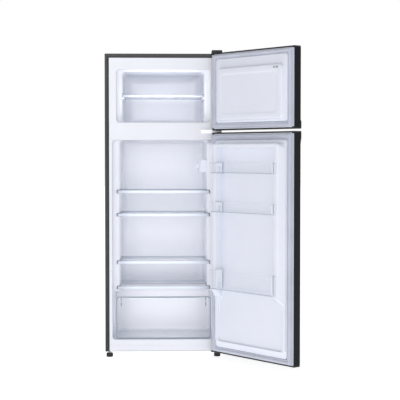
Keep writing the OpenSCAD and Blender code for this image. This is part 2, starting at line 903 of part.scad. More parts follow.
// An open-topped bin that hangs on two lugs of the door's ribs and widens in front of them
module door_bin(i) {
    z0 = bin_z[i];
    color("#cfe0ea", 0.6) opened() difference() {
        translate([0, 0, z0]) linear_extrude(bin_h[i]) bin_outline(0, 0);
        translate([0, 0, z0 + bin_t]) linear_extrude(bin_h[i]) bin_outline(bin_end_t, bin_t);
        mirrored() block(lug_in - 0.5, bin_half + eps, door_in + lug_d[0] - 1,
            door_in + lug_d[1] + 1, z0 - eps, z0 + lug_z[1] + 0.2);
    }
}

outer_shell();
back_panel();
base_plate();
side_rails();
front_sill();
cabinet_foam();
cabinet_liner();
mullion_bar();
compressor_tray();
compressor();
compressor_grommets();
start_relay_box();
condenser_coil();
condenser_wires();
condenser_lines();
drip_tray();
drain_tube();
cord_gland();
top_hinge();
top_hinge_cover();
middle_hinge();
hinge_bushings();
bottom_hinge();
hinge_screws();
thermostat_housing();
lamp_cover();
led_lamp();
thermostat_knob();
door_switch_body();
door_switch_plunger();
foot(-1);  // foot_left
foot(1);  // foot_right
roller_brackets();
roller(-1);  // roller_left
roller(1);  // roller_right
freezer_shelf();
shelf_glass(shelf_z[0]);  // shelf_glass_1
shelf_glass(shelf_z[1]);  // shelf_glass_2
shelf_glass(shelf_z[2]);  // shelf_glass_3
shelf_trim(shelf_z[0]);  // shelf_trim_1
shelf_trim(shelf_z[1]);  // shelf_trim_2
shelf_trim(shelf_z[2]);  // shelf_trim_3
shelf_glass(cover_z);  // crisper_glass
shelf_trim(cover_z);  // crisper_trim
crisper_drawer();
freezer_door_skin();
freezer_door_top_cap();
freezer_door_bottom_cap();
freezer_door_foam();
freezer_door_liner();
freezer_gasket();
fridge_door_skin();
fridge_door_top_cap();
fridge_door_bottom_cap();
fridge_door_foam();
fridge_door_liner();
fridge_gasket();
door_bin(0);  // door_bin_1
door_bin(1);  // door_bin_2
door_bin(2);  // door_bin_3
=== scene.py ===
import json
import math

import bmesh
import bpy
from mathutils import Matrix, Vector


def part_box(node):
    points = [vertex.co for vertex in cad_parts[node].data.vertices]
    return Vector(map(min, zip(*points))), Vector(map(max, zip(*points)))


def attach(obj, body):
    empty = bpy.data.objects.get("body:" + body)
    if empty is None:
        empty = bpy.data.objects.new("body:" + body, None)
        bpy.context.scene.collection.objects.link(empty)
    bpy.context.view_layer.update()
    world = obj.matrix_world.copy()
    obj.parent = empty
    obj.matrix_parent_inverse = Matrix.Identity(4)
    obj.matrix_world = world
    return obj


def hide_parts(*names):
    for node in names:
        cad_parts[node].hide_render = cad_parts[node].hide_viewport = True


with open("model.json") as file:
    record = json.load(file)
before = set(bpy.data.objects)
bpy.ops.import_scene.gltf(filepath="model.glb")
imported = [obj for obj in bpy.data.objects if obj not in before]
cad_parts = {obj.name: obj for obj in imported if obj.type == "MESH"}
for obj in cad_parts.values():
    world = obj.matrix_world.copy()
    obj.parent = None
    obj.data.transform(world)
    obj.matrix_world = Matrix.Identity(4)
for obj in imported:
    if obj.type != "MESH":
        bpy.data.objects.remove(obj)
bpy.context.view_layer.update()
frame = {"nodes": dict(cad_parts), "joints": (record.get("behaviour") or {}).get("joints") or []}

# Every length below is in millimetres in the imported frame, and MM turns it into metres.
MM = 0.001
FLOOR_Z = -28          # underside of the levelling feet
FRONT = -250           # front face of the cabinet
HALF = 275             # half the cabinet's width
TOP = 1405

joints = {j["name"]: j for j in frame["joints"]}
hinge = joints["fridge_door_hinge"]
PIVOT = Vector(hinge["pos_m"]) / MM
DOOR_OPEN = -hinge["range_deg"][0]
DOOR_IN = FRONT - 12   # inner metal of the doors when they are closed
OPENED = (
    Matrix.Translation(PIVOT * MM)
    @ Matrix.Rotation(math.radians(DOOR_OPEN), 4, "Z")
    @ Matrix.Translation(-PIVOT * MM)
)


# ---------------------------------------------------------------- outlines and meshes

def arc(cx, cy, r, a0, a1, n=6):
    """Points on an arc, angles in degrees."""
    angles = [math.radians(a0 + (a1 - a0) * i / n) for i in range(n + 1)]
    return [(cx + r * math.cos(a), cy + r * math.sin(a)) for a in angles]


def quarter(n=5):
    """(sine, cosine) pairs over a quarter turn."""
    return [(math.sin(math.pi / 2 * i / n), math.cos(math.pi / 2 * i / n)) for i in range(n + 1)]


def outline(side, low, high, r_low, r_high, n=6):
    """Closed outline, symmetric about the first axis; side is its right edge from low to high."""
    right = arc(side[0][0] - r_low, low + r_low, r_low, -90, 0, n)
    right += side
    right += arc(side[-1][0] - r_high, high - r_high, r_high, 0, 90, n)
    return right + [(-x, z) for x, z in reversed(right)]


def rounded(half, low, high, r, n=6):
    """Rounded rectangle, symmetric about the first axis."""
    middle = (low + high) / 2
    return outline([(half, middle)], low, high, r, r, n)


def at_y(points, y):
    """Points in X and Z, placed at a Y."""
    return [(x, y, z) for x, z in points]


def at_z(points, z):
    """Points in X and Y, placed at a Z."""
    return [(x, y, z) for x, y in points]


def loft(rings, closed=True, cap_first=False, cap_last=False):
    """Vertices and faces of the surface through rings of equal length."""
    n = len(rings[0])
    verts = [p for ring in rings for p in ring]
    faces = []
    for i in range(len(rings) - 1):
        for j in range(n if closed else n - 1):
            k = (j + 1) % n
            faces.append((i * n + j, i * n + k, (i + 1) * n + k, (i + 1) * n + j))
    if cap_first:
        faces.append(tuple(range(n)))
    if cap_last:
        faces.append(tuple(reversed(range((len(rings) - 1) * n, len(rings) * n))))
    return verts, faces


def box_part(x0, x1, y0, y1, z0, z1):
    """Vertices and faces of a box, to be joined into a larger piece."""
    return loft([[(x0, y0, z), (x1, y0, z), (x1, y1, z), (x0, y1, z)] for z in (z0, z1)],
                cap_first=True, cap_last=True)


def mirror_part(part):
    """The part on the other side of the cabinet's middle."""
    verts, faces = part
    return [(-x, y, z) for x, y, z in verts], [tuple(reversed(f)) for f in faces]


def join(*parts):
    """Several parts as the vertices and faces of one piece."""
    verts, faces = [], []
    for part_verts, part_faces in parts:
        start = len(verts)
        verts += part_verts
        faces += [tuple(i + start for i in f) for f in part_faces]
    return verts, faces


def node_box(name):
    """Low and high corner of a CAD node."""
    return [[c / MM for c in corner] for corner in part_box(name)]


def piece(name, part, body, material, replaced=(), toward=None, bevel=0.0, segments=3,
          thickness=0.0, smooth_angle=35, in_door=False):
    """A finished mesh object on a body. toward is a point that an open surface faces."""
    verts, faces = part
    mesh = bpy.data.meshes.new(name)
    mesh.from_pydata([(x * MM, y * MM, z * MM) for x, y, z in verts], [], faces)
    bm = bmesh.new()
    bm.from_mesh(mesh)
    bmesh.ops.remove_doubles(bm, verts=bm.verts, dist=1e-6)
    if toward is None:
        bmesh.ops.recalc_face_normals(bm, faces=bm.faces)
    else:
        goal = Vector(toward) * MM
        facing = sum(f.calc_area() * f.normal.dot((goal - f.calc_center_median()).normalized())
                     for f in bm.faces)
        if facing < 0:
            bmesh.ops.reverse_faces(bm, faces=bm.faces)
    bm.to_mesh(mesh)
    bm.free()
    if in_door:
        mesh.transform(OPENED)
    mesh.polygons.foreach_set("use_smooth", [True] * len(mesh.polygons))
    mesh.set_sharp_from_angle(angle=math.radians(smooth_angle))
    obj = bpy.data.objects.new(name, mesh)
    bpy.context.scene.collection.objects.link(obj)
    mesh.materials.append(material)
    if thickness:
        wall = obj.modifiers.new("wall", "SOLIDIFY")
        wall.thickness = thickness * MM
        wall.offset = -1
    if bevel:
        add_bevel(obj, bevel, segments, smooth_angle)
    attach(obj, body)
    if replaced:
        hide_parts(*replaced)
    return obj


def add_bevel(obj, width, segments=3, angle=35):
    """Rounds the edges that are sharper than the angle."""
    edges = obj.modifiers.new("edges", "BEVEL")
    edges.width = width * MM
    edges.segments = segments
    edges.limit_method = "ANGLE"
    edges.angle_limit = math.radians(angle)
    edges.use_clamp_overlap = False
    edges.miter_outer = "MITER_ARC"
    normals = obj.modifiers.new("normals", "WEIGHTED_NORMAL")
    normals.keep_sharp = True


# ---------------------------------------------------------------- materials

def new_material(name, colour, roughness, metallic=0.0, **sockets):
    """A Principled material; sockets are set on the shader itself."""
    material = bpy.data.materials.new(name)
    material.use_nodes = True
    shader = material.node_tree.nodes["Principled BSDF"]
    shader.inputs["Base Color"].default_value = (*colour, 1)
    shader.inputs["Roughness"].default_value = roughness
    shader.inputs["Metallic"].default_value = metallic
    for key, value in sockets.items():
        shader.inputs[key.replace("_", " ")].default_value = value
    return material


def node(material, kind, **values):
    """A shader node with its inputs or properties set by name."""
    made = material.node_tree.nodes.new(kind)
    for key, value in values.items():
        label = key.replace("_", " ")
        if label in made.inputs:
            made.inputs[label].default_value = value
        else:
            setattr(made, key, value)
    return made


def link(material, a, out, b, into):
    """Joins an output of node a to an input of node b."""
    material.node_tree.links.new(a.outputs[out], b.inputs[into])


def shader_of(material):
    return material.node_tree.nodes["Principled BSDF"]


def place(material, scale=(1, 1, 1)):
    """Object coordinates, stretched."""
    coords = node(material, "ShaderNodeTexCoord")
    mapping = node(material, "ShaderNodeMapping")
    mapping.inputs["Scale"].default_value = scale
    link(material, coords, "Object", mapping, "Vector")
    return mapping


def noise(material, scale, detail=4.0, stretch=(1, 1, 1), roughness=0.5):
    """Noise fixed to the object."""
    texture = node(material, "ShaderNodeTexNoise", Scale=scale, Detail=detail, Roughness=roughness)
    link(material, place(material, stretch), "Vector", texture, "Vector")
    return texture


def vary_colour(material, texture, dark, light, low=0.35, high=0.65, out=0):
    """Base colour between two tones, following an output of a texture."""
    ramp = node(material, "ShaderNodeValToRGB")
    ramp.color_ramp.elements[0].position = low
    ramp.color_ramp.elements[0].color = (*dark, 1)
    ramp.color_ramp.elements[1].position = high
    ramp.color_ramp.elements[1].color = (*light, 1)
    link(material, texture, out, ramp, "Fac")
    link(material, ramp, "Color", shader_of(material), "Base Color")


def vary_roughness(material, texture, low, high):
    """Uneven gloss between two roughness values."""
    spread = node(material, "ShaderNodeMapRange")
    spread.inputs["To Min"].default_value = low
    spread.inputs["To Max"].default_value = high
    link(material, texture, 0, spread, "Value")
    link(material, spread, "Result", shader_of(material), "Roughness")


def bump(material, texture, strength, depth_mm):
    """Fine surface relief from a texture."""
    made = node(material, "ShaderNodeBump", Strength=strength, Distance=depth_mm * MM)
    link(material, texture, 0, made, "Height")
    link(material, made, "Normal", shader_of(material), "Normal")


def tint(colour, factor):
    """A darker or lighter tone of a colour."""
    return tuple(min(c * factor, 1) for c in colour)


def moulded(name, colour, roughness, grain=900.0, depth=0.02, spread=0.05, **sockets):
    """Moulded plastic: faint tone drift, uneven gloss and a fine moulded grain."""
    material = new_material(name, colour, roughness, **sockets)
    drift = noise(material, 9.0, 3.0)
    vary_colour(material, drift, tint(colour, 1 - spread), tint(colour, 1 + spread * 0.4))
    vary_roughness(material, noise(material, 34.0, 5.0), roughness * 0.8, roughness * 1.3)
    bump(material, noise(material, grain, 2.0), 0.25, depth)
    return material


def painted(name, colour, roughness, coat=0.25, specular=0.5):
    """Baked enamel on sheet steel: orange peel, slight tone drift and fine dust."""
    material = new_material(name, colour, roughness, Coat_Weight=coat, Coat_Roughness=0.15,
                            Specular_IOR_Level=specular)
    vary_colour(material, noise(material, 5.0, 4.0), tint(colour, 0.92), tint(colour, 1.08))
    vary_roughness(material, noise(material, 60.0, 6.0), roughness * 0.75, roughness * 1.35)
    bump(material, noise(material, 420.0, 2.0), 0.35, 0.03)
    return material


def zinc(name, colour):
    """Galvanised sheet with its spangle."""
    material = new_material(name, colour, 0.42, 0.85)
    spangle = node(material, "ShaderNodeTexVoronoi", Scale=70.0)
    link(material, place(material), "Vector", spangle, "Vector")
    grey = node(material, "ShaderNodeSeparateColor")
    link(material, spangle, "Color", grey, "Color")
    vary_colour(material, grey, tint(colour, 0.8), tint(colour, 1.12), 0.1, 0.9)
    vary_roughness(material, noise(material, 22.0, 5.0), 0.3, 0.55)
    bump(material, noise(material, 240.0, 3.0), 0.2, 0.03)
    return material


def brushed(name, colour, roughness, stretch):
    """Metal with fine lines along one axis."""
    material = new_material(name, colour, roughness, 1.0)
    lines = noise(material, 260.0, 5.0, stretch)
    vary_colour(material, lines, tint(colour, 0.86), tint(colour, 1.1))
    vary_roughness(material, lines, roughness * 0.7, roughness * 1.5)
    bump(material, lines, 0.25, 0.02)
    return material


def clear(name, colour, edge_colour, alpha, edge_alpha, roughness):
    """Clear plastic or glass: see-through face on, denser and tinted where it is seen edge on."""
    material = new_material(name, colour, roughness, Coat_Weight=0.5, Coat_Roughness=0.05, IOR=1.5)
    facing = node(material, "ShaderNodeLayerWeight", Blend=0.5)
    face_on, edge_on = 0.45, 0.92
    spread = node(material, "ShaderNodeMapRange")
    spread.inputs["From Min"].default_value = face_on
    spread.inputs["From Max"].default_value = edge_on
    spread.inputs["To Min"].default_value = alpha
    spread.inputs["To Max"].default_value = edge_alpha
    link(material, facing, "Facing", spread, "Value")
    link(material, spread, "Result", shader_of(material), "Alpha")
    vary_colour(material, facing, colour, edge_colour, face_on, edge_on, "Facing")
    vary_roughness(material, noise(material, 20.0, 3.0), roughness * 0.8, roughness * 1.4)
    bump(material, noise(material, 25.0, 1.0), 0.03, 0.05)
    return material


BLACK_PAINT = painted("black_paint", (0.024, 0.025, 0.027), 0.4)
# The door skins get the cabinet's black enamel made about four times darker: painted shade, for door
# metal turned away from the light
SHADED_DOOR_PAINT = painted("door_paint_shaded", (0.0055, 0.0056, 0.0062), 0.42, 0.0, 0.2)
BLACK_PLASTIC = moulded("black_plastic", (0.014, 0.014, 0.016), 0.48, 1200.0, 0.03, 0.12)
LINER = moulded("white_liner", (0.868, 0.88, 0.937), 0.3, 500.0, 0.003, 0.012,
                Coat_Weight=0.3, Coat_Roughness=0.12)
PANEL = moulded("door_liner", (0.84, 0.86, 0.945), 0.3, 500.0, 0.003, 0.012,
                Coat_Weight=0.3, Coat_Roughness=0.1)
GASKET = moulded("gasket_grey", (0.58, 0.60, 0.69), 0.55, 700.0, 0.03, 0.06)
WHITE_PLASTIC = moulded("white_plastic", (0.76, 0.79, 0.87), 0.35, 900.0, 0.02, 0.02)
TRIM = moulded("shelf_trim", (0.66, 0.7, 0.79), 0.5, 800.0, 0.01, 0.03,
               Coat_Weight=0.4, Coat_Roughness=0.08)
RUBBER = moulded("rubber_mount", (0.025, 0.025, 0.026), 0.8, 600.0, 0.05, 0.2)
FOAM = moulded("foam", (0.78, 0.68, 0.42), 0.85, 160.0, 0.5, 0.15)
ZINC = zinc("galvanised_steel", (0.50, 0.51, 0.52))
STEEL = brushed("bright_steel", (0.66, 0.67, 0.69), 0.3, (0.15, 1, 1))
COPPER = brushed("copper_tube", (0.72, 0.36, 0.22), 0.32, (1, 1, 0.12))
ENAMEL = painted("compressor_black", (0.017, 0.017, 0.018), 0.34)
LENS = clear("lamp_lens", (0.95, 0.97, 0.98), (0.7, 0.76, 0.82), 0.5, 0.9, 0.3)
LED = moulded("led_warm", (0.95, 0.92, 0.85), 0.4, 900.0, 0.01, 0.03,
              Emission_Color=(1, 0.97, 0.9, 1), Emission_Strength=0.6)
GLASS = clear("shelf_glass", (0.90, 0.94, 0.98), (0.74, 0.8, 0.88), 0.02, 0.25, 0.05)
CLEAR = clear("clear_plastic", (0.9, 0.94, 1.0), (0.68, 0.76, 0.9), 0.03, 0.55, 0.1)
FROSTED = clear("frosted_shelf", (0.72, 0.78, 0.88), (0.5, 0.58, 0.7), 0.4, 0.75, 0.25)
# Near-white opaque for the clear bins' posts and cheeks and the drawer's grip: painted highlight,
# for thick clear plastic that catches the light
HIGHLIGHT_POST = moulded("bin_post_painted_highlight", (0.88, 0.91, 0.97), 0.14, 600.0, 0.003, 0.02,
               Coat_Weight=0.5, Coat_Roughness=0.05)
# Dark blue-grey for the drawer's front bead and the bins' foot strips: painted shade, for clear
# plastic darkened where it is seen edge on
SHADE_BEAD = moulded("bin_bead_painted_shade", (0.30, 0.36, 0.47), 0.16, 600.0, 0.003, 0.06,
               Coat_Weight=0.5, Coat_Roughness=0.05)
PLATE = moulded("plate_grey", (0.2, 0.21, 0.23), 0.4, 900.0, 0.01, 0.1)

CAD_LOOKS = {
    SHADED_DOOR_PAINT: ["freezer_door_skin", "fridge_door_skin"],
    BLACK_PLASTIC: ["freezer_door_top_cap", "freezer_door_bottom_cap", "fridge_door_top_cap",
                    "fridge_door_bottom_cap", "top_hinge_cover", "hinge_bushings", "drip_tray",
                    "start_relay_box", "cord_gland", "roller_left", "roller_right"],
    ZINC: ["back_panel", "base_plate", "side_rails", "compressor_tray", "roller_brackets"],
    LINER: ["mullion_bar", "front_sill"],
    ENAMEL: ["compressor", "condenser_coil", "condenser_wires", "bottom_hinge"],
    STEEL: ["top_hinge", "middle_hinge", "hinge_screws"],
    WHITE_PLASTIC: ["thermostat_housing", "thermostat_knob", "door_switch_body",
                    "door_switch_plunger", "drain_tube"],
    COPPER: ["condenser_lines"],
    RUBBER: ["compressor_grommets"],
    FOAM: ["cabinet_foam", "freezer_door_foam", "fridge_door_foam"],
    LED: ["led_lamp"],
    LENS: ["lamp_cover"],
    FROSTED: ["freezer_shelf"],
    GLASS: ["shelf_glass_1", "shelf_glass_2", "shelf_glass_3", "crisper_glass"],
    TRIM: ["shelf_trim_1", "shelf_trim_2", "shelf_trim_3", "crisper_trim"],
}
# Width of the rounding that each CAD node gets along its edges
SOFT_EDGES = {
    "freezer_door_skin": 0.35, "fridge_door_skin": 0.35, "freezer_door_top_cap": 1.5,
    "freezer_door_bottom_cap": 1.5, "fridge_door_top_cap": 1.5, "fridge_door_bottom_cap": 1.5,
    "top_hinge_cover": 1.2, "middle_hinge": 0.4, "top_hinge": 0.4, "bottom_hinge": 0.4,
    "thermostat_housing": 0.9, "thermostat_knob": 1.0, "freezer_shelf": 0.9, "drip_tray": 0.6,
    "start_relay_box": 2.0, "shelf_trim_1": 1.4, "shelf_trim_2": 1.4, "shelf_trim_3": 1.4,
    "crisper_trim": 1.4, "shelf_glass_1": 0.5, "shelf_glass_2": 0.5, "shelf_glass_3": 0.5,
    "crisper_glass": 0.5, "front_sill": 0.6, "mullion_bar": 0.6, "roller_left": 1.0,
    "roller_right": 1.0, "door_switch_body": 0.8, "door_switch_plunger": 0.8,
}


def add_weld(obj):
    """Joins the CAD mesh's split corners, so that its edges can be rounded or moved."""
    weld = obj.modifiers.new("weld", "WELD")
    weld.merge_threshold = 1e-6


def dress_cad_nodes():
    """Materials for every carried-over CAD node, and soft edges where they show."""
    for material, names in CAD_LOOKS.items():
        for name in names:
            mesh = frame["nodes"][name].data
            mesh.materials.clear()
            mesh.materials.append(material)
    # The foam draws back a little, because the moulded liners round off its sharp corners
    for name in CAD_LOOKS[FOAM]:
        add_weld(frame["nodes"][name])
        shrink = frame["nodes"][name].modifiers.new("shrink", "DISPLACE")
        shrink.strength = -4 * MM
        shrink.mid_level = 0
    for name, width in SOFT_EDGES.items():
        add_weld(frame["nodes"][name])
        add_bevel(frame["nodes"][name], width, 2, 40)


# ---------------------------------------------------------------- cabinet

def make_outer_shell():
    """Sheet steel bent round the sides and the top, with a rounded front edge and flange."""
    r = 2.5
    profile = [(20, FRONT), (r, FRONT)]
    profile += [(r - r * s, FRONT + r - r * c) for s, c in quarter(4)][1:]
    profile += [(0, 225)]
    rings = []
    for inset, y in profile:
        x, z = HALF - inset, TOP - inset
        corner = arc(x - 2, z - 2, 2, 0, 90, 3)
        right = [(x, 0)] + corner
        rings.append(at_y(right + [(-px, pz) for px, pz in reversed(right)], y))
    piece("outer_shell_wrap", loft(rings, closed=False), "cabinet", BLACK_PAINT,
          ["outer_shell"], thickness=1.0)


def freezer_side(wall, rib):
    """Right edge of a freezer section: the wall and the rib that carries the shelf."""
    return [(wall, 1130), (wall, 1194.7), (rib, 1195.3), (rib, 1201.7), (wall, 1202.3), (wall, 1250)]


def freezer_ring(y, wall, low, high, r, rib=None):
    side = freezer_side(wall, wall if rib is None else rib)
    return at_y(outline(side, low, high, r, r), y)


def make_freezer_tub():
    """From the front flange through the rounded opening and a step to the rounded back."""
    wall, rib = 195, 186
    floor, ceiling = 1085, 1322
    mouth, mouth_low, mouth_high = 221, 1083, 1333
    lead = 2.5
    step_y, step_r = FRONT + 35, 6
    rib_y = (-195, -194, 79, 80)
    back_y, back_r = 150, 57
    rings = [freezer_ring(FRONT, 255, 1080.5, 1385, 1)]
    rings.append(freezer_ring(FRONT, mouth + lead, mouth_low - 2, mouth_high + lead, 20))
    rings += [freezer_ring(FRONT + lead * (1 - c), mouth + lead * (1 - s), mouth_low - 2 * (1 - s),
                           mouth_high + lead * (1 - s), 18) for s, c in quarter(3)][1:]
    rings += [freezer_ring(step_y - step_r * (1 - s), mouth - step_r * (1 - c), mouth_low + 1 - c,
                           mouth_high - step_r * (1 - c), 16) for s, c in quarter(4)]
    rings += [freezer_ring(step_y + 8 * (1 - c), wall + 8 * (1 - s), floor - 0.8 * (1 - s),
                           ceiling + 4 * (1 - s), 18) for s, c in quarter(5)]
    rings += [freezer_ring(y, wall, floor, ceiling, 18, half)
              for y, half in zip(rib_y, (wall, rib, rib, wall))]
    rings += [freezer_ring(back_y - back_r * (1 - s), wall - back_r * (1 - c), floor + 20 * (1 - c),
                           ceiling - 38 * (1 - c), 18 + 6 * (1 - c)) for s, c in quarter(9)]
    piece("freezer_tub", loft(rings, cap_last=True), "cabinet", LINER,
          ["cabinet_liner"], toward=(0, -60, 1205), bevel=1.2, segments=2)


# Bottoms of the crisper cover and of the shelves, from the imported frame
SHELF_LOWS = [node_box(n)[0][2] for n in ("crisper_trim", "shelf_trim_1", "shelf_trim_2",
                                          "shelf_trim_3")]


def fridge_side(bay, column, groove, above_hump):
    """Right edge of a fridge section: crisper bay, column and the grooves for the shelves."""
    half = {"bay": bay, "column": column, "groove": groove}
    bay_top, edge = 280, 0.3
    points = [("bay", 90), ("bay", bay_top - edge), ("column", bay_top + edge)]
    for z in SHELF_LOWS:
        groove_low, groove_high = z - 1, z + 15
        points += [("column", groove_low - edge), ("groove", groove_low + edge),
                   ("groove", groove_high - edge), ("column", groove_high + edge)]
    points.append(("column", 940))
    if not above_hump:
        return [(half[k], z) for k, z in points]
    # Over the compressor's hump the bay is gone, and its points close up on the column's foot
    column_foot = 330
    return [(half[k], z) if z > column_foot else (column, 320 + z / 50) for k, z in points]


def fridge_ring(y, halves, low, high, r_low, r_high, above_hump=False):
    """A fridge section; halves are the half widths of the bay, the column and the grooves."""
    return at_y(outline(fridge_side(*halves, above_hump), low, high, r_low, r_high), y)


def make_fridge_tub():
    """From the front flange past the crisper bay and over the hump to the rounded back."""
    mouth, bay, column, groove = 241, 232, 207, 220
    floor, hump, ceiling = 57, 286, 1000
    lead = 2.4
    step_y, step_r = FRONT + 60, 6
    hump_y, groove_y = 60, 95
    back_y, back_r = 170, 27
    rings = [fridge_ring(FRONT, [255] * 3, 28, 1002.5, 1, 1)]
    rings += [fridge_ring(FRONT + lead * (1 - c), [mouth + lead * (1 - s)] * 3,
                          floor - lead * (1 - s), ceiling + lead * (1 - s), 16, 16)
              for s, c in quarter(3)]
    rings += [fridge_ring(step_y - step_r * (1 - s),
                          (mouth - step_r * (1 - c), mouth - 20 * (1 - c), mouth - 15 * (1 - c)),
                          floor, ceiling, 14, 16) for s, c in quarter(4)]
    rings += [fridge_ring(step_y + 14 * (1 - c),
                          (bay + 3 * (1 - s), column + 14 * (1 - s), groove + 6 * (1 - s)),
                          floor, ceiling, 12, 16) for s, c in quarter(6)]
    rings += [fridge_ring(hump_y - 15 * (1 - s), (bay - 10 * (1 - c), column, groove),
                          floor + 15 * (1 - c), ceiling, 12, 16) for s, c in quarter(4)]
    rings += [fridge_ring(hump_y + 12 * (1 - c), (column, column, groove), hump - 12 * (1 - s),
                          ceiling, 8, 16, True) for s, c in quarter(4)]
    rings += [fridge_ring(y, (column, column, half), hump, ceiling, 8, 16, True)
              for y, half in ((groove_y - 0.5, groove), (groove_y + 0.5, column))]
    rings += [fridge_ring(back_y - back_r * (1 - s), [column - back_r * (1 - c)] * 3,
                          hump + 16 * (1 - c), ceiling - back_r * (1 - c), 8 + 4 * (1 - c), 16,
                          True) for s, c in quarter(7)]
    piece("fridge_tub", loft(rings, cap_last=True), "cabinet", LINER,
          ["cabinet_liner"], toward=(0, -60, 600), bevel=1.2, segments=2)


# ---------------------------------------------------------------- doors, drawn closed

def depth(points, d):
    """Outline in X and Z at a depth d into the cabinet from the door's inner metal."""
    return at_y(points, DOOR_IN + d)


def make_freezer_door_liner():
    """From the skin's fold over a step and a raised plateau down to a shallow dish."""
    # Half width, bottom and top of each nested outline
    rim, step = (260, 1051, 1397), (238, 1078, 1373)
    plateau, dish = (217, 1088, 1329), (198, 1107, 1310)
    step_d, plateau_d = 8, 22

    def rect(size, inset, r, d, low_inset=None):
        half, low, high = size
        low += inset if low_inset is None else low_inset
        return depth(rounded(half - inset, low, high - inset, r), d)
    rings = [rect(rim, 0, 1, 0), rect(step, 0, 14, 0)]
    rings += [rect(step, 3 * (1 - c), 14, step_d - 3 * (1 - s)) for s, c in quarter(3)]
    rings += [rect(plateau, -4 * (1 - s), 22, step_d + 4 * (1 - c), -3 * (1 - s))
              for s, c in quarter(3)]
    rings += [rect(plateau, 7 * (1 - c), 22, plateau_d - 7 * (1 - s)) for s, c in quarter(4)]
    rings += [rect(dish, 11 * s, 24, plateau_d - (1 - c)) for s, c in quarter(5)]
    rings += [rect(dish, 11 + 11 * (1 - c), 18, plateau_d - 1 - s) for s, c in quarter(5)]
    piece("freezer_door_panel", loft(rings, cap_last=True), "freezer_door", PANEL,
          ["freezer_door_liner"], toward=(0, 3000, 1200), in_door=True)


def fridge_panel_ring(half, low_half, low, high, r, d):
    """Section of the fridge door's liner, wider below the lowest bin."""
    side = [(low_half, 150), (low_half, 267.5), (half, 268.5), (half, 900)]
    return depth(outline(side, low, high, r, r), d)


def make_fridge_door_liner():
    """From the skin's fold over a step and a frame down into the pocket behind the bins."""
    step, step_low, step_high = 238, 34, 998
    frame_half, frame_low, frame_high = 235.5, 59, 995.5
    ribbed, pocket, pocket_low, pocket_high = 195, 216, 64, 964
    step_d, frame_d, pocket_d = 9, 16, 7
    rings = [fridge_panel_ring(260, 260, 9, 1027, 1, 0),
             fridge_panel_ring(step, step, step_low, step_high, 14, 0)]
    rings += [fridge_panel_ring(*[step - 2 * (1 - c)] * 2, step_low + 3 * (1 - c),
                                step_high - 2 * (1 - c), 14, step_d - 3 * (1 - s))
              for s, c in quarter(3)]
    rings += [fridge_panel_ring(*[frame_half + 0.4 * (1 - s)] * 2, frame_low - 3 * (1 - s),
                                frame_high + 0.3, 14, step_d + 3 * (1 - c)) for s, c in quarter(3)]
    rings += [fridge_panel_ring(*[frame_half - 2 * (1 - c)] * 2, frame_low + 2 * (1 - c),
                                frame_high - 2 * (1 - c), 14, frame_d - 2 * (1 - s))
              for s, c in quarter(3)]
    rings += [fridge_panel_ring(ribbed + 2 * (1 - s), pocket + 3 * (1 - s),
                                pocket_low - 2 * (1 - s), pocket_high + 2 * (1 - s), 14,
                                frame_d - 3 * (1 - c)) for s, c in quarter(4)]
    rings += [fridge_panel_ring(ribbed - 3 * (1 - c), pocket - 5 * (1 - c),
                                pocket_low + 5 * (1 - c), pocket_high - 5 * (1 - c), 14,
                                pocket_d + 5 * (1 - s)) for s, c in quarter(4)]
    piece("fridge_door_panel", loft(rings, cap_last=True), "fridge_door", PANEL,
          ["fridge_door_liner"], toward=(0, 3000, 500), in_door=True)


def dyke_line(half, top, r, bottom, d):
    """Open line up the left rib, across the top and down the right rib."""
    right = [(half, bottom), (half, 420)] + arc(half - r, top - r, r, 0, 90, 8)
    return depth(right + [(-x, z) for x, z in reversed(right)], d)


def make_dykes():
    """The ribs of the fridge door's liner that hold the bins: two uprights and a bridge."""
    base, crest, soft = 16, 50, 5
    half, top, bottom = 236, 982, 268
    in_half, in_top, pocket_d = 195, 964, 7

    def side(d, inset=0.3):
        share = (d - base) / (crest - base)
        return dyke_line(half - 16 * share - inset, top - inset, 30 - 18 * share,
                         bottom + 36 * share + inset, d)
    lines = [side(14), side(24), side(34), side(crest - soft)]
    lines += [side(crest - soft * (1 - s), 0.3 + soft * (1 - c)) for s, c in quarter(4)][1:]
    lines += [dyke_line(in_half + 5 * (1 - s), in_top + 3 * (1 - s), 14, bottom + 37 + 3 * c,
                        crest - 5 * (1 - c)) for s, c in quarter(4)]
    lines.append(dyke_line(in_half, in_top, 14, bottom, pocket_d))
    verts, faces = loft(lines, closed=False)
    n = len(lines[0])
    faces.append(tuple(i * n for i in range(len(lines))))
    faces.append(tuple(i * n + n - 1 for i in reversed(range(len(lines)))))
    piece("fridge_door_ribs", (verts, faces), "fridge_door", PANEL,
          ["fridge_door_liner"], toward=(0, 3000, 500), in_door=True)


def make_lugs():
    """Lugs on the ribs, on which the bins hang."""
    parts = []
    for name in ("door_bin_1", "door_bin_2", "door_bin_3"):
        z = node_box(name)[0][2]
        lug = box_part(190, 196, DOOR_IN + 25, DOOR_IN + 35, z + 10, z + 30)
        parts += [lug, mirror_part(lug)]
    piece("fridge_door_lugs", join(*parts), "fridge_door", PANEL,
          ["fridge_door_liner"], bevel=1.0, segments=2, in_door=True)


